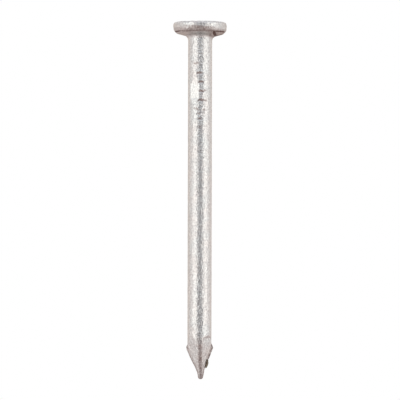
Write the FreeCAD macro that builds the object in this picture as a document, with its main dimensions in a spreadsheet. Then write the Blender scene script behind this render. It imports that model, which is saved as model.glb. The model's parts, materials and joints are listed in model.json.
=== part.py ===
import FreeCAD, Part
import os
import Sketcher

# A 50 x 3.35 mm galvanised round wire nail, head up along +Z.
# The origin is the middle of the flat struck face; the shank runs down -Z to the point.
# Sizes are in mm and degrees. The steel is stated bare; the zinc lies outside it.

SIZES = {
    "coat_thickness": 0.05,
    "wire_radius": 1.675,
    "head_radius": 3.83,
    "rim_thickness": 1.37,
    "rim_top_round": 0.3,
    "rim_low_round": 0.4,
    "under_cone_angle": 20,
    "neck_fillet": 0.7,
    "overall_length": 51.45,
    "taper_start": 43.9,
    "taper_depth": 0.03,
    "end_radius": 0.3,
    "left_facet_start": 45.13,
    "left_facet_angle": 14.94,
    "left_facet_azimuth": 42.5,
    "right_facet_start": 44.22,
    "right_facet_angle": 11.14,
    "right_facet_azimuth": 52,
    "ridge_bevel": 0.05,
    "mark_count": 8,
    "mark_first": 5.93,
    "mark_pitch": 1.31,
    "mark_depth": 0.16,
    "mark_rise": 0.1,
    "mark_fall": 0.26,
    "fin_thickness": 0.14,
    "fin_root": 0.9,
    "fin_tip": 0.04,
    "left_fin_reach": 0.17,
    "left_fin_top": 46.15,
    "left_fin_peak": 46.8,
    "left_fin_foot": 47.4,
    "left_fin_foot_across": 1.64,
    "right_fin_reach": 0.25,
    "right_fin_top": 46.0,
    "right_fin_peak": 46.82,
    "right_fin_foot": 48.5,
    "right_fin_foot_across": 1.14,
    "chip_thickness": 0.4,
    "chip_bevel": 0.07,
}

# The chip seen from the front: across from the nail's axis, and up from the struck face.
CHIP_OUTLINE = (
    (1.04, -48.54),
    (1.22, -48.56),
    (1.4, -48.96),
    (1.3, -49.38),
    (0.99, -49.78),
    (0.72, -49.7),
    (0.84, -49.15),
)

doc = FreeCAD.newDocument("nail")
sheet = doc.addObject("Spreadsheet::Sheet", "Sizes")
for row, (word, value) in enumerate(SIZES.items(), start=1):
    sheet.set(f"A{row}", word)
    sheet.set(f"B{row}", str(value))
    sheet.setAlias(f"B{row}", word)
doc.recompute()

# How far the cutting outlines run past the metal, and how wide the cuts are, end to end.
ABOVE_FACETS = 2
PAST_TIP = 0.1
POINT_CUT_WIDTH = 12
MARK_CUT_WIDTH = 4

# How far inside the shank's surface a fin's waist starts.
FIN_WAIST_DEPTH = 0.05

# The ridges slope, so the zinc over them lies this much further out than it is thick.
RIDGE_GROWTH = 1.06

# Expressions shared by the bare steel (skin 0) and the zinc's outer face (skin = coat).
BARE = "0"
COATED = "Sizes.coat_thickness"
SIDES = ("left", "right")
SIGN = {"left": "-", "right": ""}


def plane_of(body, role):
    """One of the body's own origin planes."""
    return next(item for item in body.Origin.OriginFeatures if item.Role == role)


def add_body(name):
    body = doc.addObject("PartDesign::Body", name)
    body.Label = name
    return body


def add_sketch(body, name, role, offset=FreeCAD.Placement()):
    sketch = body.newObject("Sketcher::SketchObject", name)
    sketch.AttachmentSupport = [(plane_of(body, role), "")]
    sketch.MapMode = "FlatFace"
    sketch.AttachmentOffset = offset
    return sketch


def add_outline(sketch, corners):
    """A closed outline of straight lines with each corner bound to a pair of expressions."""
    first = sketch.GeometryCount
    count = len(corners)
    points = [
        FreeCAD.Vector(*(sketch.evalExpression(part) for part in corner), 0)
        for corner in corners
    ]
    for i in range(count):
        sketch.addGeometry(Part.LineSegment(points[i], points[(i + 1) % count]), False)
    for i in range(count):
        here = first + i
        after = first + (i + 1) % count
        sketch.addConstraint(Sketcher.Constraint("Coincident", here, 2, after, 1))
    for i, (across, up) in enumerate(corners):
        here = first + i
        for kind, axis, text, value in (
            ("DistanceX", -2, across, points[i].x),
            ("DistanceY", -1, up, points[i].y),
        ):
            if text == "0":
                sketch.addConstraint(Sketcher.Constraint("PointOnObject", here, 1, axis))
                continue
            index = sketch.addConstraint(
                Sketcher.Constraint(kind, -1, 1, here, 1, value)
            )
            sketch.setExpression(f"Constraints[{index}]", text)


def add_feature(body, kind, name, **settings):
    feature = body.newObject(f"PartDesign::{kind}", name)
    for key, value in settings.items():
        setattr(feature, key, value)
    doc.recompute()
    return feature


def ring_edges(shape, radius, height, slack=0.02):
    """Names of the circular edges round the nail's axis at one radius and height."""
    names = []
    for number, edge in enumerate(shape.Edges, start=1):
        box = edge.BoundBox
        flat = box.ZLength < 1e-4 and abs(box.ZMin - height) < slack
        if flat and abs(box.XMax - radius) < slack and abs(box.YMax - radius) < slack:
            names.append(f"Edge{number}")
    return names


def add_profile(body, skin):
    """The head, shank and blunt coned end turned as one, then the head's rounded edges."""
    sketch = add_sketch(body, f"{body.Name}_profile", "XZ_Plane")
    top = f"{skin} - Sizes.coat_thickness"
    head = f"Sizes.head_radius + {skin}"
    wire = f"Sizes.wire_radius + {skin}"
    cone = "(Sizes.under_cone_angle * 1 deg)"
    low = (
        f"-Sizes.coat_thickness - Sizes.rim_thickness"
        f" + {skin} * (tan({cone}) - 1 / cos({cone}))"
    )
    neck = f"{low} - (Sizes.head_radius - Sizes.wire_radius) * tan({cone})"
    end = f"-Sizes.overall_length + Sizes.coat_thickness - {skin}"
    tapered = f"{wire} - Sizes.taper_depth"
    blunt = f"Sizes.end_radius + {skin} * (sqrt(2) - 1)"
    add_outline(
        sketch,
        (
            ("0", top),
            (head, top),
            (head, low),
            (wire, neck),
            (wire, "-Sizes.taper_start"),
            (tapered, f"{end} + ({tapered}) - ({blunt})"),
            (blunt, end),
            ("0", end),
        ),
    )
    doc.recompute()
    add_feature(
        body,
        "Revolution",
        f"{body.Name}_turned",
        Profile=sketch,
        ReferenceAxis=(sketch, ["V_Axis"]),
        Angle=360,
    )
    value = body.evalExpression
    for name, radius, height, size in (
        ("rim_top", head, top, f"Sizes.rim_top_round + {skin}"),
        ("rim_low", head, low, f"Sizes.rim_low_round + {skin}"),
        ("neck", wire, neck, f"Sizes.neck_fillet - {skin}"),
    ):
        edges = ring_edges(body.Shape, value(radius), value(height))
        fillet = add_feature(
            body, "Fillet", f"{body.Name}_{name}", Base=(body.Tip, edges)
        )
        fillet.setExpression("Radius", size)
        doc.recompute()


def facet_slope(side):
    return f"tan(Sizes.{side}_facet_angle * 1 deg)"


def facet_face(side, depth):
    """How far the steel's facet on one side lies from the axis, at a depth below the head."""
    return (
        f"(Sizes.wire_radius - (({depth}) - Sizes.{side}_facet_start)"
        f" * {facet_slope(side)})"
    )


def side_ridge(side, depth):
    """How far out the two facets of one side meet."""
    return f"({facet_face(side, depth)} / sin(Sizes.{side}_facet_azimuth * 1 deg))"


def front_ridge(depth):
    """How far forward, and back, the facets of the two sides meet."""
    left, right = (f"tan(Sizes.{side}_facet_azimuth * 1 deg)" for side in SIDES)
    across = " + ".join(side_ridge(side, depth) for side in SIDES)
    return f"(({across}) * {left} * {right} / ({left} + {right}))"


def point_cuts(skin):
    """Each cut that shapes the point: its name, turn about the axis, and faces by side."""
    grown = {side: f"{skin} * sqrt(1 + {facet_slope(side)} ^ 2)" for side in SIDES}
    cuts = []
    for side in SIDES:
        turn = 90 - SIZES[f"{side}_facet_azimuth"]
        face = {side: lambda depth, side=side: f"{facet_face(side, depth)} + {grown[side]}"}
        if side == "right":
            turn = -turn
        cuts.append((f"{side}_front_facet", turn, face))
        cuts.append((f"{side}_back_facet", -turn, face))
    worn = f"- Sizes.ridge_bevel + {skin} * {RIDGE_GROWTH}"
    cuts.append(
        (
            "side_ridges",
            0,
            {
                side: lambda depth, side=side: f"{side_ridge(side, depth)} {worn}"
                for side in SIDES
            },
        )
    )
    cuts.append(
        (
            "front_ridges",
            90,
            {side: lambda depth: f"{front_ridge(depth)} {worn}" for side in SIDES},
        )
    )
    return cuts


def add_point(body, skin):
    """Four sheared facets leave a diamond point that leans to the right, its ridges worn."""
    above = f"(Sizes.left_facet_start - {ABOVE_FACETS})"
    below = f"(Sizes.overall_length + {PAST_TIP})"
    wide = "2 * Sizes.wire_radius"
    for label, turn, faces in point_cuts(skin):
        offset = FreeCAD.Placement(
            FreeCAD.Vector(), FreeCAD.Rotation(FreeCAD.Vector(0, 1, 0), turn)
        )
        name = f"{body.Name}_{label}"
        sketch = add_sketch(body, f"{name}_outline", "XZ_Plane", offset)
        for side, face in faces.items():
            sign = SIGN[side]
            add_outline(
                sketch,
                (
                    (f"{sign}{wide}", f"-{above}"),
                    (f"{sign}({face(above)})", f"-{above}"),
                    (f"{sign}({face(below)})", f"-{below}"),
                    (f"{sign}{wide}", f"-{below}"),
                ),
            )
        doc.recompute()
        add_feature(
            body,
            "Pocket",
            name,
            Profile=sketch,
            Type="Length",
            SideType="Symmetric",
            Length=POINT_CUT_WIDTH,
        )


def add_marks(body, skin):
    """Notches left by the gripping dies, front and back, stepping down the shank."""
    sketch = add_sketch(body, f"{body.Name}_mark_outline", "YZ_Plane")
    outside = f"(Sizes.wire_radius + {skin} + Sizes.mark_depth)"
    floor = f"(Sizes.wire_radius + {skin} - Sizes.mark_depth)"
    for sign in ("-", ""):
        add_outline(
            sketch,
            (
                (f"{sign}{outside}", "-Sizes.mark_first + 2 * Sizes.mark_rise"),
                (f"{sign}{floor}", "-Sizes.mark_first"),
                (f"{sign}{outside}", "-Sizes.mark_first - 2 * Sizes.mark_fall"),
            ),
        )
    doc.recompute()
    mark = add_feature(
        body,
        "Pocket",
        f"{body.Name}_mark",
        Profile=sketch,
        Type="Length",
        SideType="Symmetric",
        Length=MARK_CUT_WIDTH,
    )
    row = add_feature(
        body,
        "LinearPattern",
        f"{body.Name}_marks",
        Originals=[mark],
        Direction=(plane_of(body, "Z_Axis"), [""]),
        Reversed=True,
        Mode="Spacing",
    )
    row.setExpression("Offset", "Sizes.mark_pitch")
    row.setExpression("Occurrences", "Sizes.mark_count")
    body.Tip = row
    doc.recompute()


def add_fin(body, skin, side):
    """A thin fin of steel squeezed out sideways where the cutters met."""
    sketch = add_sketch(body, f"{body.Name}_{side}_fin_outline", "XZ_Plane")
    sign = SIGN[side]
    root = f"{sign}Sizes.fin_root"
    waist = f"{sign}(Sizes.wire_radius - {FIN_WAIST_DEPTH})"
    reach = f"{sign}(Sizes.wire_radius + Sizes.{side}_fin_reach + {skin})"
    foot = f"{sign}(Sizes.{side}_fin_foot_across + {skin})"
    add_outline(
        sketch,
        (
            (root, f"-Sizes.{side}_fin_top + {skin}"),
            (waist, f"-Sizes.{side}_fin_top + {skin}"),
            (reach, f"-Sizes.{side}_fin_peak + Sizes.fin_tip + {skin}"),
            (reach, f"-Sizes.{side}_fin_peak - Sizes.fin_tip - {skin}"),
            (foot, f"-Sizes.{side}_fin_foot - {skin}"),
            (root, f"-Sizes.{side}_fin_foot - {skin}"),
        ),
    )
    doc.recompute()
    fin = add_feature(
        body,
        "Pad",
        f"{body.Name}_{side}_fin",
        Profile=sketch,
        Type="Length",
        SideType="Symmetric",
    )
    fin.setExpression("Length", f"Sizes.fin_thickness + 2 * {skin}")
    doc.recompute()


def add_nail(name, skin):
    """The whole nail as one body, with its faces moved out by the skin."""
    body = add_body(name)
    add_profile(body, skin)
    add_point(body, skin)
    add_marks(body, skin)
    for side in SIDES:
        add_fin(body, skin, side)
    return body


def broad_faces(shape, slack=1e-6):
    """Names of a flat pad's front and back faces."""
    faces = enumerate(shape.Faces, start=1)
    return [f"Face{number}" for number, face in faces if face.BoundBox.YLength < slack]


def add_chip_blank(name):
    """The flake before the nail's shape is taken out of it."""
    body = add_body(name)
    sketch = add_sketch(body, f"{name}_outline", "XZ_Plane")
    add_outline(sketch, [(str(across), str(up)) for across, up in CHIP_OUTLINE])
    doc.recompute()
    flake = add_feature(
        body,
        "Pad",
        f"{name}_pad",
        Profile=sketch,
        Type="Length",
        SideType="Symmetric",
    )
    flake.setExpression("Length", "Sizes.chip_thickness")
    doc.recompute()
    bevelled = add_feature(
        body, "Chamfer", f"{name}_bevel", Base=(body.Tip, broad_faces(body.Shape))
    )
    bevelled.setExpression("Size", "Sizes.chip_bevel")
    doc.recompute()
    return body


def add_cut(name, base, tool):
    cut = doc.addObject("Part::Cut", name)
    cut.Label = name
    cut.Base = base
    cut.Tool = tool
    doc.recompute()
    return cut


steel = add_nail("steel_core", BARE)
outside = add_nail("coat_outside", COATED)
coat = add_cut("galvanised_coat", outside, steel)
chip = add_cut("pinch_off_chip", add_chip_blank("chip_blank"), outside)

os.makedirs("parts", exist_ok=True)
for item in doc.Objects:
    if "Invalid" in item.State or "Error" in item.State:
        raise RuntimeError(f"{item.Name} is {item.State}")
for part in (steel, coat, chip):
    shape = part.Shape
    if shape.isNull() or not shape.isValid() or len(shape.Solids) != 1:
        raise RuntimeError(f"{part.Label} isn't one valid solid")
    shape.exportStep(f"parts/{part.Label}.step")
    print(part.Label, round(shape.Volume, 3), shape.BoundBox)
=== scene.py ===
"""A galvanised round wire nail: the lumpy zinc, the steel under it, and a scale-dark chip at the point."""

import json
import math

import bpy
import numpy as np
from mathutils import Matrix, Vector


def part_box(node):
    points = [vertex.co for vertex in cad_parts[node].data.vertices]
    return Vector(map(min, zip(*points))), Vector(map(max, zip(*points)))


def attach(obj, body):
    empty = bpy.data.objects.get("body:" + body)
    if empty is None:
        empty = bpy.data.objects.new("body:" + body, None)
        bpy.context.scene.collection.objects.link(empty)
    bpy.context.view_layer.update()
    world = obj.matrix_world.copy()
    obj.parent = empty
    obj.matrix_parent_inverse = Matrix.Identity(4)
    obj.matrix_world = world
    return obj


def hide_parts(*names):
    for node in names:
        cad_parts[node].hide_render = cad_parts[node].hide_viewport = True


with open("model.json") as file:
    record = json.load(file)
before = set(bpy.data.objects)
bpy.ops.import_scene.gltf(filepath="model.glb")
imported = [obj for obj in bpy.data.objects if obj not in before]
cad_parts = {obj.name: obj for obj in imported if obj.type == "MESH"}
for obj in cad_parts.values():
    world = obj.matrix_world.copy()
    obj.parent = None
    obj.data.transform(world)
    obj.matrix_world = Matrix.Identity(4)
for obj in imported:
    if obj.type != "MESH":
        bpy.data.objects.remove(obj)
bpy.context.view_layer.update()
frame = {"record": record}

MM = 0.001

# ---- the nail's sizes over the zinc, in mm; angles are in degrees from the front unless said ----
#
# Heights are Z, from the head's flat top at 0 down. Lumps are given by their size and their seed.
# Most pairs are spans: where something starts to show, and where it shows in full.

# The head, walked from its flat top down to the shank by the tilt of its surface
HEAD_RADIUS = 3.838
HEAD_SHIFT = 0.034
TOP_ROUND = 0.34
BARREL_TOP_TILT = 6
BARREL_LOW_TILT = -10
BARREL_END = -0.96
LOW_ROUND = 0.86
SIDE_CONE_TILT = -74
FRONT_CONE_TILT = -77
SIDE_NECK_FILLET = 0.75
FRONT_NECK_FILLET = 0.62
FRONT_TOP_DROP = 0.06
UNDERSIDE_LEAN = 0.06
UNDERSIDE_FRONT_RISE = 0.07

# The crease round the foot of the rim, with painted shade along it that is darkest where it gapes,
# and where it gapes: the azimuths where each gap opens and closes
CREASE_LEVEL = -1.4
CREASE_FRONT_DROP = 0.09
CREASE_LEAN = 0.04
CREASE_WIDTH = 0.095
CREASE_DEPTH = 0.035
CREASE_INNER = 2.8
CREASE_LUMPS = (1.5, 41)
CREASE_WAVER = 0.02
CREASE_SHADE = 0.85
CREASE_GAP_SHADE = 0.8
CREASE_GAPS = (((34, 42), (82, 74)), ((-95, -86), (-50, -64)))

# The open lap under the head's right side, outlined from above, and the near-black shade painted in it
LAP_CORNERS = ((2.0, -3.3), (2.3, -1.6), (2.4, 0.2), (2.1, 0.2), (1.75, -2.3))
LAP_TOP = -1.4
LAP_TOP_FADE = 0.12
LAP_FOOT = (-2.4, -2.2)
LAP_EDGE = 0.06
LAP_LUMPS = (0.3, 33)
LAP_WAVER = 0.02
LAP_DEPTH = 0.15
# How much shade is painted in the lap; past 1 it runs to near-black
LAP_SHADE = 1.5

# The rim's painted shade: blotches over its lower half, which faces down, and a thin band all round just
# over the crease
RIM_SHADE_TOP = -0.6
RIM_SHADE_LEAN = 0.06
RIM_SHADE_FADE = 0.3
RIM_SHADE_FOOT = (-1.56, -1.46)
RIM_SHADE_SIDES = (0.85, 0.35)
RIM_SHADE = 0.75
RIM_LUMPS = (0.25, 71)
RIM_BLOTCHES = {"middle": 0.85, "swing": 0.18, "most": 1.2}
RIM_BAND_TOP = -0.865
RIM_BAND_LEAN = 0.034
RIM_BAND_FADE = 0.2
RIM_BAND_SHADE = 0.32

# The painted shade in the neck under the head, at either side, and how far round it reaches
NECK_SHADE = {"left": 0.55, "right": 0.95}
NECK_SHADE_WIDTH = {"left": 0.7, "right": 1.1}
NECK_SHADE_TOP = (-1.55, -1.75)
NECK_SHADE_FOOT = (-2.35, -2.05)

# The patchy brown darkening on the head's underside
UNDERSIDE_DARKENING = 0.3
UNDERSIDE_LUMPS = (0.35, 91)
UNDERSIDE_MOST = 1.4
UNDERSIDE_TOP = (-1.45, -1.55)
UNDERSIDE_INNER = (1.8, 2.0)

# The shank tapers a little towards the point; its outline where it is plain sets the head's
# columns
TAPER_START = -43.9
TAPER_DEPTH = 0.03
PLAIN_LEVEL = -20.0

# The four facets of the point, two a side: the azimuths they face, and how far out to the side
# each pair would meet, both by height
POINT_START = -43.0
POINT_FORMED = -46.0
FACETS = {
    "left": {
        "azimuths": ((-50.0, 42.5), (-48.5, 41.0), (-46.7, 41.0), (-46.2, 42.5)),
        "heights": (-51.45, -50.9, -50.41, -49.55, -48.68, -47.96, -45.13, -36.0),
        "outers": (0.165, 0.245, 0.325, 0.685, 1.152, 1.48, 2.553, 6.16),
    },
    "right": {
        "azimuths": ((-50.0, 47.0), (-48.0, 45.0)),
        "heights": (-51.45, -50.6, -50.0, -49.0, -48.0, -47.0, -46.0, -45.4, -44.95, -36.0),
        "outers": (0.458, 0.643, 0.745, 1.07, 1.41, 1.76, 2.07, 2.07, 2.44, 10.0),
    },
}
SIDE_SIGN = {"left": -1, "right": 1}
RIDGE_SOFTNESS = 0.05

# The film of soil all over the facets, and the line of painted shade along the shoulder where they start,
# which dims the shoulder's highlight
FACET_SOIL = {"left": 0.06, "right": 0.13}
FACET_SOIL_EDGE = 0.05
SHOULDER_SOFTNESS = 0.015
SHOULDER_SHADE = 0.2
SHOULDER_SHADE_WIDTH = 0.035

# The height of the rounding at the very tip, how far short of the CAD's end it stops, and how far
# round each of its rings is, in degrees
TIP_ROUND = 0.24
TIP_GAP = 0.07
TIP_TURNS = (25, 50, 72)

# The narrow land that the dies leave down the front and back of the point
LAND_CUT = 0.2
LAND_TIP_SHARE = 0.45
LAND_SOFTNESS = 0.04

# The soil and painted shade on the front land: how much, its half width by height, its waver, patches and
# top
LAND_SOIL_AND_SHADE = 0.8
LAND_SOIL_AND_SHADE_WIDTHS = ((-46.8, 0.3), (-45.8, 0.38))
LAND_SOIL_AND_SHADE_SHIFT = 0.02
LAND_SOIL_AND_SHADE_TOP = (-44.6, -46.4)
LAND_EDGE_POWER = 4
LAND_WAVER = 0.035
LAND_WAVER_LUMPS = (0.5, 51)
LAND_PATCH_LUMPS = (0.4, 52)
LAND_PATCHES = {"middle": 0.95, "swing": 0.12, "most": 1.1}

# The soil along the point's side edges: how far in front of and behind each, and how much
SIDE_EDGE_WIDTH = {"left": 0.27, "right": 0.22}
SIDE_EDGE_SOIL = {"left": 0.75, "right": 0.9}
SIDE_EDGE_TOP = (-45.6, -46.4)

# Each fin's outline from its foot up to its top: height, and reach from the axis
FINS = {
    "left": (
        (-47.5, 1.6),
        (-47.2, 1.81),
        (-46.95, 1.84),
        (-46.8, 1.91),
        (-46.6, 1.86),
        (-46.25, 1.6),
    ),
    "right": (
        (-48.75, 1.0),
        (-48.45, 1.37),
        (-47.3, 1.79),
        (-46.85, 1.99),
        (-46.3, 1.79),
        (-45.95, 1.6),
    ),
}
# A fin's half thickness at its outer edge and how much it gains inward, the sector in which rays
# meet it (a cosine), and the least reach that counts as a fin
FIN_TIP_HALF = 0.07
FIN_FLARE = 0.16
FIN_SECTOR = 0.5
FIN_LEAST = 0.1
FIN_SOFTNESS = 0.03
FIN_SOIL = {"left": 0.35, "right": 0.6}
FIN_SOIL_FOOT = (-47.7, -47.0)
FIN_SOIL_EDGE = (-0.06, 0.03)

# The gripper's nicks on the front: height, azimuth, depth, and rise to the right
FRONT_NICKS = (
    (-5.98, -27, 0.03, 0.0),
    (-5.98, -14, 0.035, 0.0),
    (-7.36, -3, 0.08, -0.02),
    (-8.68, 4, 0.075, 0.0),
    (-9.98, 6, 0.075, -0.04),
    (-9.9, 24, 0.035, 0.1),
    (-11.26, 5, 0.085, 0.04),
    (-11.3, 26, 0.035, -0.06),
    (-12.48, -27, 0.03, 0.0),
    (-12.5, -14, 0.035, 0.0),
    (-12.65, 20, 0.03, -0.06),
    (-13.2, -6, 0.03, 0.0),
    (-13.9, -2, 0.04, 0.0),
    (-15.2, 1, 0.03, 0.0),
)

# The row of nicks on the back, and how unevenly the gripper's teeth bit
BACK_NICK_FIRST = -5.93
BACK_NICK_PITCH = 1.31
BACK_NICK_COUNT = 8
BACK_NICK_AZIMUTH = 180
BACK_NICK_SWAY = 7
BACK_NICK_DEPTH = 0.07
BACK_NICK_UNEVENNESS = 0.02
BACK_NICK_LEAN = 0.02

# Every nick's section: how far it reaches above and below its middle, and its ragged edge
NICK_RISE = 0.24
NICK_FALL = 0.3
NICK_SOFTNESS = 0.012
NICK_JITTER = 0.02
NICK_LUMPS = (0.3, 81)
NICK_LUMP_STRETCH = 0.3

# The painted shade on a nick's steep upper side: where it lies, by height from the nick's middle
# and by the depth of the cut, the depth of nick that holds it all, and the least that shows
NICK_STEEP = (-0.24, 0.02)
NICK_SHADE_CUT = (0.003, 0.02)
NICK_SHADE_DEPTH = 0.055
NICK_SHADE_LEAST = 0.05

# The lip of zinc over each nick: its height and where it stands, and how far round it reaches,
# by the nick's depth
LIP_HEIGHT = 0.024
LIP_RISE = 1.15
LIP_WIDTH = 0.07
LIP_FULL_DEPTH = 0.07
LIP_SPAN = (1.6, 0.6)

# The flat that the gripper left beside the nicks: where it is, how deep it is, and how it fades
# at its ends, by the share of its half height
FLAT_LEVEL = -9.95
FLAT_HALF_HEIGHT = 1.5
FLAT_AZIMUTH = -29
FLAT_DEPTH = 0.155
FLAT_ENDS = (1.1, 0.6)
FLAT_SOFTNESS = 0.01
FLAT_RUBBED_EDGE = 0.03

# The zinc's lumps: size, seed, height on the shank, and how much higher on the head
RELIEF = ((0.3, 11, 0.004, 0.007), (0.9, 12, 0.003, 0.007))
HEAD_RELIEF_FOOT = (-1.9, -1.4)
BOX_MARGIN = 0.001

# Soil and painted shade below these shares is left out where one layer lies over another
EDGE_SOIL_AND_SHADE_LEAST = 0.02
LAYER_SOIL_AND_SHADE_LEAST = 0.01

# The shard at the point: where it ends, how its spine bows across, and its half width and half
# depth, at the ends and how much more in the middle
CHIP_TOP = -48.5
CHIP_FOOT = -49.8
CHIP_SPINE = (1.17, 0.02, -0.28)
CHIP_FORWARD = 0.04
CHIP_HALF_WIDTH = (0.03, 0.14)
CHIP_HALF_DEPTH = (0.04, 0.11)
CHIP_FULLEST = 0.8
CHIP_BLUNTNESS = 0.55
CHIP_RELIEF = ((0.28, 61, 0.022), (0.12, 62, 0.01))

# How far under the zinc's surface the steel is drawn
CORE_INSET = 0.12

# ---- the mesh's density ----

# Columns round each quarter, and rays tried in each quarter to place them
QUARTER_COLUMNS = 54
QUARTER_RAYS = 260

# Rows down each part of the head, from a small ring round its middle
TOP_RING = 0.12
HEAD_ROWS = {"top": 20, "corner": 9, "barrel": 12, "low": 16, "cone": 16, "neck": 14}

# Steps down the shank: the height where each ends, and its size; then the point's
NECK_STEP = 0.1
SHANK_STEPS = ((-5.4, 0.12), (-13.2, 0.07), (-15.4, 0.1), (POINT_START, 0.25))
POINT_STEP = 0.085

CHIP_ROWS = 44
CHIP_COLUMNS = 56

# ---- the materials ----
#
# A size is a noise's, in mm; a noise is its size, detail and, after that, its roughness. A ramp's
# stops are (place in the noise, colour or grey).

# The zinc's grain, its slow drift from warm to cool, its gloss and its bump
ZINC_DARK = (0.47, 0.46, 0.455)
ZINC_MIDDLE = (0.605, 0.6, 0.585)
ZINC_PALE = (0.73, 0.725, 0.705)
ZINC_RUBBED = (0.67, 0.668, 0.655)
GRAIN_NOISE = (0.26, 3.0, 0.6)
GRAIN_RAMP = ((0.32, ZINC_DARK), (0.5, ZINC_MIDDLE), (0.68, ZINC_PALE))
CLOUD_SIZE = 1.6
CLOUD_RAMP = ((0.35, (1.0, 0.97, 0.97)), (0.65, (0.97, 0.985, 1.0)))
GLOSS_SIZE = 0.45
GLOSS_RAMP = ((0.3, 0.28), (0.7, 0.35))
BUMP_NOISE = (0.24, 1.5, 0.5)
BUMP_STRENGTH = 1.0
BUMP_DEPTH = 0.085

# Soil and painted shade: the brown up to a share of 1, and the near-black painted shade from there to 2,
# their roughness, and their speckle
SOIL_AND_SHADE_COLOUR = (0.18, 0.112, 0.1)
DEEP_SHADE_COLOUR = (0.03, 0.02, 0.018)
SOIL_AND_SHADE_ROUGHNESS = (0.6, 0.6, 0.6)
SPECKLE_NOISE = (0.2, 3.0, 0.6)
SPECKLE_RAMP = ((0.35, 0.55), (0.6, 1.0))

STEEL_MOTTLE_SIZE = 0.4
STEEL_RAMP = ((0.35, (0.3, 0.29, 0.28)), (0.65, (0.45, 0.44, 0.43)))
STEEL_ROUGHNESS = 0.45

SCALE_NOISE = (0.25, 4.0)
SCALE_RAMP = ((0.3, (0.05, 0.038, 0.025)), (0.5, (0.12, 0.09, 0.06)), (0.7, (0.2, 0.16, 0.11)))
SCALE_METALLIC = 0.2
SCALE_ROUGHNESS = 0.6
SCALE_BUMP_STRENGTH = 0.6
SCALE_BUMP_DEPTH = 0.03

# ---- the studio ----

# Its light, by turn from the camera's side (0) to behind the nail (1), and by level from straight
# down (0) to straight up (1)
STUDIO_TURN = 4
GAP = (
    (0.0, (0.4, 0.34, 0.35)),
    (0.3, (0.34, 0.3, 0.31)),
    (0.45, (0.17, 0.17, 0.17)),
    (0.55, (0.3, 0.31, 0.325)),
    (0.59, (0.55, 0.58, 0.62)),
    (0.66, (0.85, 0.88, 0.95)),
)
GAP_EDGE = ((0.087, 0), (0.268, 1))
WALLS = (
    (0.25, (0.72, 0.72, 0.72)),
    (0.46, (0.915, 0.893, 0.885)),
    (0.6, (0.995, 0.945, 0.92)),
    (1, (0.95, 0.9, 0.87)),
)
WALL_TINTS = (
    (0.1, (0.7, 0.64, 0.63)),
    (0.3, (0.96, 0.92, 0.93)),
    (0.45, (1, 1, 1)),
    (0.7, (1, 1.02, 1.03)),
    (0.9, (0.9, 0.93, 1)),
)
BACK_TINTS = ((0.62, (1, 1, 1)), (0.8, (0.95, 0.9, 0.86)), (1, (0.76, 0.65, 0.56)))
BACK_REACH = ((0.3, 0), (0.42, 1), (0.6, 1), (0.72, 0))
SOFT_BOXES = (
    (0.1, 0),
    (0.19, (1.12, 1.1, 1.05)),
    (0.35, (1.12, 1.1, 1.05)),
    (0.435, 0.06),
    (0.7, 0.04),
    (0.85, 0),
)
SOFT_BOX_REACH = ((0.02, 0.3), (0.1, 1), (0.54, 1), (0.62, 0.85), (0.88, 0.42))

# The head's shadow on the bench, down behind the nail: its direction, its edge and its tint
BENCH_DIRECTION = (0.2, 0.75, -0.63)
BENCH_EDGE = ((0.8, (1, 1, 1)), (0.99, (0.62, 0.53, 0.5)))

WHITE = (1.0, 1.0, 1.0)

# The floor, in metres
FLOOR_SIZE = 1.2
FLOOR_GAP = 0.001

# The camera, in mm and degrees
CAMERA_LENS = 161.1
CAMERA_PLACE = (0.035, -258, -25.55)
CAMERA_ROLL = -0.14

# How widely the waves that make up the lumps spread in length, as shares of the lumps' size
LUMP_SPREAD = (0.8, 2.2)

# A ray that meets a face more squarely than this cosine can end on it, and otherwise gets FAR; a
# ray in the point goes no further than POINT_FAR
LEAST_FACING = 0.02
FAR = 99.0
POINT_FAR = 9.0


def record_mount(name):
    return next(mount for mount in frame["record"]["mounts"] if mount["name"] == name)


coat_low, coat_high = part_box("galvanised_coat")
NAIL_END = coat_low[2] / MM
SKIN_END = NAIL_END + TIP_GAP
BOX_REACH = coat_high[0] / MM
WIRE_RADIUS = record_mount("shank")["dims"]["r_mm"]


# ---- shape helpers ----


def lumps(points, size, seed, waves=28):
    """Smooth random relief of about unit height, with features of the given size."""
    rng = np.random.default_rng(seed)
    total = np.zeros(points.shape[:-1])
    for _ in range(waves):
        direction = rng.normal(size=3)
        direction /= np.linalg.norm(direction)
        pace = 2 * math.pi / (size * rng.uniform(*LUMP_SPREAD))
        total += np.cos(points @ direction * pace + rng.uniform(0, 2 * math.pi))
    return total / math.sqrt(waves / 2)


def soft_min(a, b, softness):
    """The lesser of two lengths, rounded off where they are nearly equal."""
    share = np.clip(0.5 + 0.5 * (b - a) / softness, 0, 1)
    return b + (a - b) * share - softness * share * (1 - share)


def soft_max(a, b, softness):
    return -soft_min(-a, -b, softness)


def smooth_step(low, high, value):
    share = np.clip((value - low) / (high - low), 0, 1)
    return share * share * (3 - 2 * share)


def bump(offset, width):
    """1 where the offset is 0, falling away smoothly on both sides."""
    return np.exp(-((offset / width) ** 2))


def patches(points, lump, amounts):
    """A patchy share round a middle value."""
    share = amounts["middle"] + amounts["swing"] * lumps(points, *lump)
    return np.clip(share, 0, amounts["most"])


def by_side(cosine, values):
    return np.where(cosine < 0, values["left"], values["right"])


# ---- the nail's section at any height, as rays from a point near its middle ----


def facet(side, height):
    """The azimuth that one side's front facet faces, and how far out its pair would meet."""
    turn = np.radians(np.interp(height, *zip(*FACETS[side]["azimuths"])))
    return turn, np.interp(height, FACETS[side]["heights"], FACETS[side]["outers"])


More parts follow.
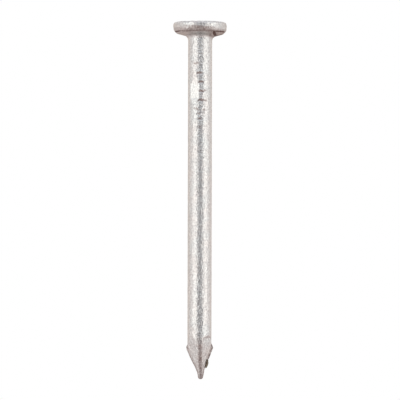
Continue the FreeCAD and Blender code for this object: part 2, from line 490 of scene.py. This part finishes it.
def front_ridge(height):
    """Where the two front facets would meet: how far to the right, and how far forward."""
    left_turn, left_outer = facet("left", height)
    right_turn, right_outer = facet("right", height)
    left_slope, right_slope = np.tan(left_turn), np.tan(right_turn)
    across = (right_outer * right_slope - left_outer * left_slope) / (left_slope + right_slope)
    return across, (left_outer + across) * left_slope


def section_centre(height):
    """The rays' start across X: the axis in the shank, and the front ridge in the point."""
    return front_ridge(height)[0] * smooth_step(POINT_START, POINT_FORMED, height)


def distance_to_face(centre, cosine, sine, azimuth, reach):
    """How far along each ray a flat face stands."""
    normal_x, normal_y = np.sin(azimuth), -np.cos(azimuth)
    facing = cosine * normal_x + sine * normal_y
    away = reach - centre * normal_x
    return np.where(facing > LEAST_FACING, away / np.maximum(facing, LEAST_FACING), FAR)


def distance_to_circle(centre, cosine, radius):
    return -centre * cosine + np.sqrt(radius**2 - centre**2 * (1 - cosine**2))


def point_reach(centre, cosine, sine, height):
    """How far along each ray the nearest facet or land of the point stands."""
    reach = np.full(cosine.shape, POINT_FAR)
    for side, sign in SIDE_SIGN.items():
        turn, outer = facet(side, height)
        for azimuth in (sign * turn, sign * (math.pi - turn)):
            face = distance_to_face(centre, cosine, sine, azimuth, outer * np.sin(turn))
            reach = soft_min(reach, face, RIDGE_SOFTNESS)
    forward = front_ridge(height)[1]
    land = forward - np.minimum(LAND_CUT, LAND_TIP_SHARE * forward)
    for turn in (0, math.pi):
        reach = soft_min(reach, distance_to_face(centre, cosine, sine, turn, land), LAND_SOFTNESS)
    return reach


def cut_flat(cosine, sine, height, reach):
    """The reach with the gripper's flat cut, and how much the zinc is rubbed bright there."""
    ends = smooth_step(*FLAT_ENDS, np.abs(height - FLAT_LEVEL) / FLAT_HALF_HEIGHT)
    inset = FLAT_DEPTH * ends
    flat = distance_to_face(0, cosine, sine, math.radians(FLAT_AZIMUTH), WIRE_RADIUS - inset)
    rubbed = smooth_step(0, FLAT_RUBBED_EDGE, reach - flat) * (inset > 0)
    return np.where(inset > 0, soft_min(reach, flat, FLAT_SOFTNESS), reach), rubbed


def all_nicks():
    """Every nick, as in FRONT_NICKS."""
    nicks = list(FRONT_NICKS)
    for index in range(BACK_NICK_COUNT):
        level = BACK_NICK_FIRST - index * BACK_NICK_PITCH
        azimuth = BACK_NICK_AZIMUTH + BACK_NICK_SWAY * math.cos(2 * index)
        depth = BACK_NICK_DEPTH + BACK_NICK_UNEVENNESS * math.sin(index)
        nicks.append((level, azimuth, depth, BACK_NICK_LEAN))
    return nicks


def nick_lip(facing, here, depth):
    """The height of the lip of zinc over a nick, at each ray."""
    narrow, wide = (1 - share * depth / WIRE_RADIUS for share in LIP_SPAN)
    height = LIP_HEIGHT * min(1, depth / LIP_FULL_DEPTH)
    return height * smooth_step(narrow, wide, facing) * bump(here - LIP_RISE * NICK_RISE, LIP_WIDTH)


def cut_nicks(cosine, sine, height, reach):
    """The reach with the nicks cut, and how much painted shade each place gets on a nick's steep side."""
    soil_and_painted_shade = np.zeros(reach.shape)
    places = np.stack([cosine, sine, height * NICK_LUMP_STRETCH], axis=-1)
    jitter = NICK_JITTER * lumps(places, *NICK_LUMPS)
    for level, azimuth, depth, lean in all_nicks():
        turn = math.radians(azimuth)
        across = (cosine * math.cos(turn) + sine * math.sin(turn)) * WIRE_RADIUS
        here = height - level - lean * across + jitter
        bite = depth * (1 - np.where(here > 0, here / NICK_RISE, -here / NICK_FALL))
        face = distance_to_face(0, cosine, sine, turn, WIRE_RADIUS - bite)
        held = smooth_step(*NICK_SHADE_CUT, reach - face) * smooth_step(*NICK_STEEP, here)
        soil_and_painted_shade = np.maximum(soil_and_painted_shade, held * min(1, depth / NICK_SHADE_DEPTH))
        facing = cosine * math.sin(turn) - sine * math.cos(turn)
        reach = soft_min(reach, face, NICK_SOFTNESS) + nick_lip(facing, here, depth)
    return reach, soil_and_painted_shade


def fin_reach(side, centre, cosine, sine, height):
    """How far out along each ray the fin reaches, or 0 where there's none."""
    heights, reaches = zip(*FINS[side])
    sign = SIDE_SIGN[side]
    outer = np.interp(height, heights, reaches, left=0, right=0) - sign * centre
    ahead = np.maximum(cosine * sign, FIN_SECTOR)
    flank = (FIN_TIP_HALF + FIN_FLARE * outer) / (np.abs(sine) + FIN_FLARE * ahead)
    wanted = (cosine * sign > FIN_SECTOR) & (outer > FIN_LEAST)
    return np.where(wanted, np.minimum(outer / ahead, flank), 0)


def add_fins(centre, cosine, sine, height, reach, soil_and_painted_shade):
    """The reach, and the soil and painted shade, with both fins and their soil added."""
    for side in FINS:
        fin = fin_reach(side, centre, cosine, sine, height)
        held = FIN_SOIL[side] * smooth_step(*FIN_SOIL_FOOT, height)
        soil_and_painted_shade = soil_and_painted_shade + held * smooth_step(*FIN_SOIL_EDGE, fin - reach)
        reach = np.where(fin > 0, soft_max(reach, fin, FIN_SOFTNESS), reach)
    return reach, soil_and_painted_shade


def side_edge_soil(cosine, sine, height, reach):
    """The soil along the point's side edges."""
    share = bump(sine * reach, by_side(cosine, SIDE_EDGE_WIDTH))
    return by_side(cosine, SIDE_EDGE_SOIL) * share * smooth_step(*SIDE_EDGE_TOP, height)


def section(cosine, sine, height, radius):
    """Each ray's start and reach, and its soil and painted shade, where less than 0 is rubbed bright."""
    centre = section_centre(height)
    reach = distance_to_circle(centre, cosine, radius)
    facets = point_reach(centre, cosine, sine, height)
    in_point = height < POINT_START
    # A line of painted shade along the shoulder, which dims the highlight of its rounding
    shoulder = SHOULDER_SHADE * bump(reach - facets, SHOULDER_SHADE_WIDTH) * in_point
    film = smooth_step(0, FACET_SOIL_EDGE, reach - facets) * in_point * by_side(cosine, FACET_SOIL)
    reach = np.where(in_point, soft_min(reach, facets, SHOULDER_SOFTNESS), reach)
    reach, rubbed = cut_flat(cosine, sine, height, reach)
    reach, soil_and_painted_shade = cut_nicks(cosine, sine, height, reach)
    soil_and_painted_shade = np.where(soil_and_painted_shade > NICK_SHADE_LEAST, soil_and_painted_shade, -rubbed)
    reach, soil_and_painted_shade = add_fins(centre, cosine, sine, height, reach, soil_and_painted_shade)
    edge = np.maximum.reduce([side_edge_soil(cosine, sine, height, reach), shoulder, film])
    return centre, reach, np.where(edge > EDGE_SOIL_AND_SHADE_LEAST, np.maximum(soil_and_painted_shade, edge), soil_and_painted_shade)


# ---- the skin's surface: rows down the nail, columns round it ----


def quarter_angles(start, height, radius):
    """Angles from start to a quarter turn on, evenly spaced along the section's outline."""
    rays = start + np.linspace(0, math.pi / 2, QUARTER_RAYS)[None, :] + 0 * height
    cosine, sine = np.cos(rays), np.sin(rays)
    _, reach, _ = section(cosine, sine, height + 0 * rays, radius + 0 * rays)
    step = np.hypot(np.diff(reach * cosine, axis=1), np.diff(reach * sine, axis=1))
    along = np.concatenate([0 * height, np.cumsum(step, axis=1)], axis=1)
    wanted = np.arange(QUARTER_COLUMNS) / QUARTER_COLUMNS
    return np.array([np.interp(wanted * row[-1], row, ray) for row, ray in zip(along, rays)])


def even_angles(height, radius):
    return np.concatenate(
        [quarter_angles(turn * math.pi / 2, height, radius) for turn in range(4)], axis=1
    )


def arc(place, radius, tilt_from, tilt_to, count):
    """Points round an arc of the profile, where tilt is how far the surface looks up."""
    hollow = -1 if tilt_to > tilt_from else 1
    first = math.radians(tilt_from)
    middle_r = place[0] - hollow * radius * math.cos(first)
    middle_z = place[1] - hollow * radius * math.sin(first)
    rows = []
    for tilt in np.radians(np.linspace(tilt_from, tilt_to, count + 1)[1:]):
        out, up = math.cos(tilt), math.sin(tilt)
        rows.append((middle_r + hollow * radius * out, middle_z + hollow * radius * up))
    return rows


def line(start, end, count):
    return [
        (start[0] + (end[0] - start[0]) * share, start[1] + (end[1] - start[1]) * share)
        for share in np.linspace(0, 1, count + 1)[1:]
    ]


def rim_profile(rightness, depthness):
    """The flat top and the barrelled rim, down to where the underside's round starts."""
    widest = HEAD_RADIUS - HEAD_SHIFT * rightness
    barrel_end = BARREL_END - UNDERSIDE_LEAN * rightness + UNDERSIDE_FRONT_RISE * depthness
    tilts = math.radians(BARREL_TOP_TILT), math.radians(BARREL_LOW_TILT)
    rim_top = -FRONT_TOP_DROP * depthness
    barrel_start = rim_top - TOP_ROUND * (1 - math.sin(tilts[0]))
    barrel = (barrel_start - barrel_end) / (math.sin(tilts[0]) - math.sin(tilts[1]))
    shoulder = widest - barrel * (1 - math.cos(tilts[0])) - TOP_ROUND * math.cos(tilts[0])
    rows = [(TOP_RING, 0.0)]
    rows += line(rows[-1], (shoulder, rim_top), HEAD_ROWS["top"])
    rows += arc(rows[-1], TOP_ROUND, 90, BARREL_TOP_TILT, HEAD_ROWS["corner"])
    rows += arc(rows[-1], barrel, BARREL_TOP_TILT, BARREL_LOW_TILT, HEAD_ROWS["barrel"])
    return rows


def head_profile(angle):
    """The head's radius and height, row by row, at one angle from +X."""
    rightness, depthness = math.cos(angle), math.sin(angle) ** 2
    cone_tilt = SIDE_CONE_TILT + (FRONT_CONE_TILT - SIDE_CONE_TILT) * depthness
    rows = rim_profile(rightness, depthness)
    rows += arc(rows[-1], LOW_ROUND, BARREL_LOW_TILT, cone_tilt, HEAD_ROWS["low"])
    cone = math.radians(cone_tilt)
    fillet = SIDE_NECK_FILLET + (FRONT_NECK_FILLET - SIDE_NECK_FILLET) * depthness
    fillet_r = WIRE_RADIUS + fillet * (1 - math.cos(cone))
    drop = (rows[-1][0] - fillet_r) / math.tan(-cone)
    rows += line(rows[-1], (fillet_r, rows[-1][1] - drop), HEAD_ROWS["cone"])
    rows += arc(rows[-1], fillet, cone_tilt, 0, HEAD_ROWS["neck"])
    return rows


def shank_rows(top):
    """Heights down the shank and point, closer together where there is more to show."""
    heights = [top - NECK_STEP]
    for end, step in (*SHANK_STEPS, (NAIL_END, POINT_STEP)):
        while heights[-1] - step > max(end, SKIN_END + TIP_ROUND):
            heights.append(heights[-1] - step)
    return np.array(heights)


def surface():
    """The plain surface in mm, rows by columns, with its soil and painted shade."""
    angles = even_angles(np.array([[PLAIN_LEVEL]]), np.array([[WIRE_RADIUS]]))[0]
    profiles = np.array([head_profile(angle) for angle in angles])
    radius, level = profiles[:, :, 0].T, profiles[:, :, 1].T
    head = np.stack([radius * np.cos(angles), radius * np.sin(angles), level], axis=2)

    heights = shank_rows(level[-1].min())[:, None]
    taper = np.clip((TAPER_START - heights) / (TAPER_START - NAIL_END), 0, 1)
    radii = WIRE_RADIUS - TAPER_DEPTH * taper
    turns = even_angles(heights, radii)
    cosine, sine, down = np.cos(turns), np.sin(turns), heights + 0 * turns
    centre, reach, soil_and_painted_shade = section(cosine, sine, down, radii + 0 * turns)
    shank = np.stack([centre + reach * cosine, reach * sine, down], axis=2)
    soil_and_painted_shade = np.concatenate([np.zeros(level.shape), soil_and_painted_shade])
    return np.concatenate([head, shank]), soil_and_painted_shade


def outward(points):
    """The surface's unit normals."""
    down = np.gradient(points, axis=0)
    padded = np.concatenate([points[:, -1:], points, points[:, :1]], axis=1)
    round_it = (padded[:, 2:] - padded[:, :-2]) / 2
    normal = np.cross(round_it, -down)
    return normal / np.maximum(np.linalg.norm(normal, axis=2, keepdims=True), 1e-12)


# ---- what the dipping left: lumps, a crease and a lap; and the soil and painted shade laid over it ----


def lap_share(points):
    """1 inside the ragged lap under the head, 0 outside it."""
    x, y, z = points[:, :, 0], points[:, :, 1], points[:, :, 2]
    share = smooth_step(LAP_TOP, LAP_TOP - LAP_TOP_FADE, z) * smooth_step(*LAP_FOOT, z)
    middle = np.mean(LAP_CORNERS, axis=0)
    for index, corner in enumerate(LAP_CORNERS):
        after = LAP_CORNERS[(index + 1) % len(LAP_CORNERS)]
        edge = np.subtract(after, corner)
        inward = np.array((-edge[1], edge[0])) / np.hypot(*edge)
        if inward @ (middle - corner) < 0:
            inward = -inward
        inside = (x - corner[0]) * inward[0] + (y - corner[1]) * inward[1]
        inside = inside + LAP_WAVER * lumps(points, *LAP_LUMPS)
        share = share * smooth_step(-LAP_EDGE, LAP_EDGE, inside)
    return share


def crease_share(points):
    """1 along the crease round the foot of the rim, fading either side."""
    forward = np.clip(-points[:, :, 1] / HEAD_RADIUS, 0, 1)
    level = CREASE_LEVEL - CREASE_FRONT_DROP * forward**2
    level = level - CREASE_LEAN * points[:, :, 0] / HEAD_RADIUS
    level = level + CREASE_WAVER * lumps(points, *CREASE_LUMPS)
    on_rim = np.hypot(points[:, :, 0], points[:, :, 1]) > CREASE_INNER
    return bump(points[:, :, 2] - level, CREASE_WIDTH) * on_rim


def crease_gap(points):
    """1 where the crease gapes, to the right of the front and at the far left."""
    azimuth = np.degrees(np.arctan2(points[:, :, 0], -points[:, :, 1]))
    gaps = [
        smooth_step(*opening, azimuth) * smooth_step(*closing, azimuth)
        for opening, closing in CREASE_GAPS
    ]
    return np.maximum.reduce(gaps)


def rim_shade(points):
    """Painted shade in blotches over the lower half of the rim, most of it at the front and back, and its
    low band.
    """
    x, z = points[:, :, 0], points[:, :, 2]
    foot = smooth_step(*RIM_SHADE_FOOT, z)
    half = smooth_step(0, RIM_SHADE_FADE, RIM_SHADE_TOP - RIM_SHADE_LEAN * x - z) * foot
    blotches = RIM_SHADE * half * patches(points, RIM_LUMPS, RIM_BLOTCHES)
    blotches = blotches * smooth_step(*RIM_SHADE_SIDES, np.abs(x) / HEAD_RADIUS)
    low = smooth_step(0, RIM_BAND_FADE, RIM_BAND_TOP - RIM_BAND_LEAN * x - z) * foot
    return np.maximum(blotches, RIM_BAND_SHADE * low)


def underside_darkening(points):
    """The patchy brown darkening on the head's underside."""
    z, out = points[:, :, 2], np.hypot(points[:, :, 0], points[:, :, 1])
    patch = np.clip(lumps(points, *UNDERSIDE_LUMPS), 0, UNDERSIDE_MOST)
    soil_and_painted_shade = UNDERSIDE_DARKENING * patch * smooth_step(*UNDERSIDE_TOP, z)
    return soil_and_painted_shade * smooth_step(*UNDERSIDE_INNER, out)


def neck_shade(points):
    """The painted shade in the neck under the head, at either side."""
    z = points[:, :, 2]
    soil_and_painted_shade = np.zeros(z.shape)
    for side, sign in SIDE_SIGN.items():
        share = bump(points[:, :, 1], NECK_SHADE_WIDTH[side]) * (points[:, :, 0] * sign > 0)
        soil_and_painted_shade = np.maximum(soil_and_painted_shade, NECK_SHADE[side] * share)
    return soil_and_painted_shade * smooth_step(*NECK_SHADE_TOP, z) * smooth_step(*NECK_SHADE_FOOT, z)


def land_share(points):
    """1 down the land on the point's front, fading either side."""
    across = points[:, :, 0] - section_centre(points[:, :, 2]) - LAND_SOIL_AND_SHADE_SHIFT
    across = across + LAND_WAVER * lumps(points, *LAND_WAVER_LUMPS)
    width = np.interp(points[:, :, 2], *zip(*LAND_SOIL_AND_SHADE_WIDTHS))
    share = np.exp(-((across / width) ** LAND_EDGE_POWER)) * (points[:, :, 1] < 0)
    share = share * patches(points, LAND_PATCH_LUMPS, LAND_PATCHES)
    return share * smooth_step(*LAND_SOIL_AND_SHADE_TOP, points[:, :, 2])


def dipped(points, soil_and_painted_shade):
    """The surface with the zinc's relief, and its soil and painted shade."""
    headness = smooth_step(*HEAD_RELIEF_FOOT, points[:, :, 2])
    relief = sum(
        (height + more_on_head * headness) * lumps(points, size, seed)
        for size, seed, height, more_on_head in RELIEF
    )
    lap, crease = lap_share(points), crease_share(points)
    relief -= CREASE_DEPTH * crease + LAP_DEPTH * lap
    moved = points + outward(points) * relief[:, :, None]
    moved[:, :, 2] = np.minimum(moved[:, :, 2], 0)
    reach = np.hypot(moved[:, :, 0], moved[:, :, 1])
    moved[:, :, :2] *= np.minimum(1, (BOX_REACH - BOX_MARGIN) / reach)[:, :, None]

    # Painted shade in the crease, deepest where it gapes
    crease_shade = crease * (CREASE_SHADE + CREASE_GAP_SHADE * crease_gap(points))
    # Near-black painted shade in the lap, and soil with painted shade down the point's front land
    layers = [LAP_SHADE * lap, crease_shade, LAND_SOIL_AND_SHADE * land_share(points)]
    layers += [rim_shade(points), neck_shade(points), underside_darkening(points)]
    gathered = np.maximum.reduce(layers)
    return moved, np.where(gathered > LAYER_SOIL_AND_SHADE_LEAST, np.maximum(soil_and_painted_shade, gathered), soil_and_painted_shade)


# ---- meshes ----


def add_mesh(name, vertices, faces, material):
    mesh = bpy.data.meshes.new(name)
    mesh.from_pydata(np.asarray(vertices).tolist(), [], faces)
    mesh.materials.append(material)
    mesh.polygons.foreach_set("use_smooth", [True] * len(mesh.polygons))
    piece = bpy.data.objects.new(name, mesh)
    bpy.context.collection.objects.link(piece)
    return piece


def tube_faces(rows, columns):
    """Quads between neighbouring rings, and a fan to a last vertex at each end."""
    faces = []
    for row in range(rows - 1):
        for column in range(columns):
            after = (column + 1) % columns
            here, below = row * columns, (row + 1) * columns
            faces.append((here + column, below + column, below + after, here + after))
    top, bottom = rows * columns, rows * columns + 1
    last = (rows - 1) * columns
    for column in range(columns):
        after = (column + 1) % columns
        faces.append((top, column, after))
        faces.append((bottom, last + after, last + column))
    return faces


def close_end(points, end):
    """Rings that round off the blunt tip, and the vertex at its bottom."""
    last = points[-1]
    middle = last.mean(axis=0)
    rings = []
    for turn in np.radians(TIP_TURNS):
        ring = middle + (last - middle) * math.cos(turn)
        ring[:, 2] = middle[2] + (end - middle[2]) * math.sin(turn)
        rings.append(ring)
    return np.stack(rings), (middle[0], middle[1], end)


def close_tube(name, points, soil_and_painted_shade, end, material):
    """A closed mesh from the rows and columns, that carries its soil and painted shade to the material."""
    rings, bottom = close_end(points, end)
    soil_and_painted_shade = np.concatenate([soil_and_painted_shade, np.repeat(soil_and_painted_shade[-1:], len(rings), axis=0)])
    points = np.concatenate([points, rings])
    rows, columns = points.shape[:2]
    top = (0, 0, points[0, :, 2].mean())
    vertices = np.concatenate([points.reshape(-1, 3), [top, bottom]]) * MM
    piece = add_mesh(name, vertices, tube_faces(rows, columns), material)
    attribute = piece.data.attributes.new("soil_and_painted_shade", "FLOAT", "POINT")
    attribute.data.foreach_set("value", np.append(soil_and_painted_shade.ravel(), (0, 0)))
    return piece


def make_core(points, soil_and_painted_shade, material):
    """The steel, drawn a little under the zinc from every other row and column."""
    inner = (points - CORE_INSET * outward(points))[::2, ::2]
    return close_tube("steel_wire", inner, soil_and_painted_shade[::2, ::2], SKIN_END + CORE_INSET, material)


def make_chip(material):
    """The scrap left by the pinch-off dies, a ragged shard that hugs the point's right edge."""
    along = np.linspace(0, 1, CHIP_ROWS)[:, None]
    angle = np.arange(CHIP_COLUMNS)[None, :] / CHIP_COLUMNS * 2 * math.pi
    swell = np.sin(np.pi * along**CHIP_FULLEST) ** CHIP_BLUNTNESS
    place, slant, bow = CHIP_SPINE
    wide = CHIP_HALF_WIDTH[0] + CHIP_HALF_WIDTH[1] * swell
    deep = CHIP_HALF_DEPTH[0] + CHIP_HALF_DEPTH[1] * swell
    x = place + slant * along + bow * along**2 + wide * np.cos(angle)
    y = -CHIP_FORWARD + deep * np.sin(angle)
    z = CHIP_TOP + (CHIP_FOOT - CHIP_TOP) * along + 0 * angle
    points = np.stack([x, y, z], axis=2)
    relief = sum(height * lumps(points, size, seed) for size, seed, height in CHIP_RELIEF)
    points += outward(points) * (relief * swell)[:, :, None]
    caps = [points[0].mean(axis=0), points[-1].mean(axis=0)]
    vertices = np.concatenate([points.reshape(-1, 3), caps]) * MM
    faces = tube_faces(CHIP_ROWS, CHIP_COLUMNS)
    return add_mesh("pinch_off_shard", vertices, faces, material)


# ---- materials ----


def new_material(name):
    material = bpy.data.materials.new(name)
    material.use_nodes = True
    tree = material.node_tree
    return material, tree, tree.nodes["Principled BSDF"]


def add_noise(tree, size_mm, detail=3.0, roughness=0.55):
    where = tree.nodes.new("ShaderNodeTexCoord")
    texture = tree.nodes.new("ShaderNodeTexNoise")
    texture.inputs["Scale"].default_value = 1 / (size_mm * MM)
    texture.inputs["Detail"].default_value = detail
    texture.inputs["Roughness"].default_value = roughness
    tree.links.new(where.outputs["Object"], texture.inputs["Vector"])
    return texture.outputs["Fac"]


def add_ramp(tree, value, stops):
    """A colour ramp from (place, colour) stops, where a plain number is a grey."""
    ramp = tree.nodes.new("ShaderNodeValToRGB")
    elements = ramp.color_ramp.elements
    while len(elements) < len(stops):
        elements.new(0.5)
    for element, (place, colour) in zip(elements, stops):
        element.position = place
        grey = isinstance(colour, (int, float))
        element.color = (colour, colour, colour, 1) if grey else (*colour, 1)
    tree.links.new(value, ramp.inputs["Fac"])
    return ramp.outputs["Color"]


def add_math(tree, operation, first, second):
    node = tree.nodes.new("ShaderNodeMath")
    node.operation = operation
    for socket, source in zip(node.inputs, (first, second)):
        if isinstance(source, (int, float)):
            socket.default_value = source
        else:
            tree.links.new(source, socket)
    return node.outputs["Value"]


def add_mix(tree, share, first, second, blend="MIX"):
    node = tree.nodes.new("ShaderNodeMix")
    node.data_type = "RGBA"
    node.blend_type = blend
    node.clamp_result = False
    node.clamp_factor = True
    sockets = {socket.identifier: socket for socket in node.inputs}
    wanted = (("Factor_Float", share), ("A_Color", first), ("B_Color", second))
    for identifier, source in wanted:
        socket = sockets[identifier]
        if isinstance(source, (int, float)):
            socket.default_value = source
        elif isinstance(source, tuple):
            socket.default_value = (*source, 1)
        else:
            tree.links.new(source, socket)
    return next(out for out in node.outputs if out.identifier == "Result_Color")


def multiply(tree, first, second):
    return add_mix(tree, 1.0, first, second, "MULTIPLY")


def add_bump(tree, shader, height, strength, distance_mm):
    node = tree.nodes.new("ShaderNodeBump")
    node.inputs["Strength"].default_value = strength
    node.inputs["Distance"].default_value = distance_mm * MM
    tree.links.new(height, node.inputs["Height"])
    tree.links.new(node.outputs["Normal"], shader.inputs["Normal"])


def add_soil_and_shade(tree):
    """The mesh's own soil and painted shade, broken up by fine noise."""
    node = tree.nodes.new("ShaderNodeAttribute")
    node.attribute_name = "soil_and_painted_shade"
    speckle = add_ramp(tree, add_noise(tree, *SPECKLE_NOISE), SPECKLE_RAMP)
    return add_math(tree, "MULTIPLY", node.outputs["Fac"], speckle)


def zinc_material():
    """Dull spangled zinc: grainy, softly bright, brown where soil has gathered and where shade is painted,
    and near-black in the deepest painted shade.
    """
    material, tree, shader = new_material("hot_dip_zinc")
    grain = add_ramp(tree, add_noise(tree, *GRAIN_NOISE), GRAIN_RAMP)
    cloud = add_ramp(tree, add_noise(tree, CLOUD_SIZE), CLOUD_RAMP)
    clean = multiply(tree, grain, cloud)
    soil_and_painted_shade = add_soil_and_shade(tree)
    rubbed = add_mix(tree, add_math(tree, "MULTIPLY", soil_and_painted_shade, -1), clean, ZINC_RUBBED)
    # Brown for soil and painted shade, then near-black painted shade past a share of 1
    soiled_and_shaded = add_mix(tree, soil_and_painted_shade, rubbed, SOIL_AND_SHADE_COLOUR)
    depth = add_math(tree, "SUBTRACT", soil_and_painted_shade, 1)
    tree.links.new(add_mix(tree, depth, soiled_and_shaded, DEEP_SHADE_COLOUR), shader.inputs["Base Color"])
    gloss = add_ramp(tree, add_noise(tree, GLOSS_SIZE), GLOSS_RAMP)
    tree.links.new(add_mix(tree, soil_and_painted_shade, gloss, SOIL_AND_SHADE_ROUGHNESS), shader.inputs["Roughness"])
    shader.inputs["Metallic"].default_value = 1.0
    add_bump(tree, shader, add_noise(tree, *BUMP_NOISE), BUMP_STRENGTH, BUMP_DEPTH)
    return material


def steel_material():
    """Drawn wire, faintly mottled."""
    material, tree, shader = new_material("drawn_steel")
    mottle = add_ramp(tree, add_noise(tree, STEEL_MOTTLE_SIZE), STEEL_RAMP)
    tree.links.new(mottle, shader.inputs["Base Color"])
    shader.inputs["Metallic"].default_value = 1.0
    shader.inputs["Roughness"].default_value = STEEL_ROUGHNESS
    return material


def scrap_material():
    """Near-black mill scale that shows olive brown where it is rubbed."""
    material, tree, shader = new_material("scaled_scrap")
    scale = add_noise(tree, *SCALE_NOISE)
    tree.links.new(add_ramp(tree, scale, SCALE_RAMP), shader.inputs["Base Color"])
    shader.inputs["Metallic"].default_value = SCALE_METALLIC
    shader.inputs["Roughness"].default_value = SCALE_ROUGHNESS
    add_bump(tree, shader, scale, SCALE_BUMP_STRENGTH, SCALE_BUMP_DEPTH)
    return material


# ---- the studio ----


def make_floor():
    """A plain white floor just under the point, which the nail doesn't reflect."""
    size, level = FLOOR_SIZE, coat_low[2] - FLOOR_GAP
    corners = [(x * size, y * size, level) for x, y in ((-1, -1), (1, -1), (1, 1), (-1, 1))]
    material, _, shader = new_material("white_floor")
    shader.inputs["Base Color"].default_value = (0, 0, 0, 1)
    shader.inputs["Specular IOR Level"].default_value = 0
    shader.inputs["Emission Color"].default_value = (1, 1, 1, 1)
    shader.inputs["Emission Strength"].default_value = 1
    floor = add_mesh("floor", corners, [(0, 1, 2, 3)], material)
    floor.visible_glossy = False
    floor.visible_shadow = False


def turn_and_level(tree, direction):
    """Each direction's turn from the camera's side and its level, both from 0 to 1."""
    turned = tree.nodes.new("ShaderNodeVectorRotate")
    turned.rotation_type = "Z_AXIS"
    turned.inputs["Angle"].default_value = math.radians(-STUDIO_TURN)
    tree.links.new(direction, turned.inputs["Vector"])
    split = tree.nodes.new("ShaderNodeSeparateXYZ")
    tree.links.new(turned.outputs["Vector"], split.inputs[0])
    x, y, z = split.outputs
    aside = add_math(tree, "ABSOLUTE", x, 0)
    turn = add_math(tree, "ARCTAN2", aside, add_math(tree, "MULTIPLY", y, -1))
    turn = add_math(tree, "DIVIDE", turn, math.pi)
    level = add_math(tree, "ADD", add_math(tree, "MULTIPLY", z, 0.5), 0.5)
    return turn, level


def wall_light(tree, turn, level):
    """White walls with a brown bench behind, and a dim gap on the camera's side."""
    sides = multiply(tree, add_ramp(tree, turn, WALLS), add_ramp(tree, level, WALL_TINTS))
    back_reach, back_tint = add_ramp(tree, level, BACK_REACH), add_ramp(tree, turn, BACK_TINTS)
    sides = multiply(tree, sides, add_mix(tree, back_reach, WHITE, back_tint))
    return add_mix(tree, add_ramp(tree, turn, GAP_EDGE), add_ramp(tree, level, GAP), sides)


def soft_box_light(tree, turn, level):
    """A tall soft box at either side."""
    return multiply(tree, add_ramp(tree, turn, SOFT_BOXES), add_ramp(tree, level, SOFT_BOX_REACH))


def bench_shadow(tree, direction):
    """The tint of the head's shadow on the bench."""
    towards = tree.nodes.new("ShaderNodeVectorMath")
    towards.operation = "DOT_PRODUCT"
    tree.links.new(direction, towards.inputs[0])
    towards.inputs[1].default_value = BENCH_DIRECTION
    return add_ramp(tree, towards.outputs["Value"], BENCH_EDGE)


def make_world():
    """The studio round the nail, plain white where the camera looks straight at it."""
    world = bpy.data.worlds.new("studio")
    world.use_nodes = True
    bpy.context.scene.world = world
    tree = world.node_tree
    direction = tree.nodes.new("ShaderNodeTexCoord").outputs["Generated"]
    turn, level = turn_and_level(tree, direction)
    walls = wall_light(tree, turn, level)
    around = add_mix(tree, 1.0, walls, soft_box_light(tree, turn, level), "ADD")
    around = multiply(tree, around, bench_shadow(tree, direction))
    rays = tree.nodes.new("ShaderNodeLightPath")
    seen = add_mix(tree, rays.outputs["Is Camera Ray"], around, WHITE)
    tree.links.new(seen, tree.nodes["Background"].inputs["Color"])


def make_camera():
    """Level with the middle of the nail, and far enough off for a long lens."""
    data = bpy.data.cameras.new("camera")
    data.lens = CAMERA_LENS
    camera = bpy.data.objects.new("camera", data)
    camera.location = Vector(CAMERA_PLACE) * MM
    camera.rotation_euler = (math.pi / 2, math.radians(CAMERA_ROLL), 0)
    bpy.context.collection.objects.link(camera)
    bpy.context.scene.camera = camera


points, soil_and_painted_shade = dipped(*surface())
skin = close_tube("zinc_skin", points, soil_and_painted_shade, SKIN_END, zinc_material())
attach(skin, "root")
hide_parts("galvanised_coat")

core = make_core(points, soil_and_painted_shade, steel_material())
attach(core, "root")
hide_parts("steel_core")

shard = make_chip(scrap_material())
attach(shard, "root")
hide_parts("pinch_off_chip")

make_floor()
make_world()
make_camera()
bpy.context.scene.view_settings.view_transform = "Standard"
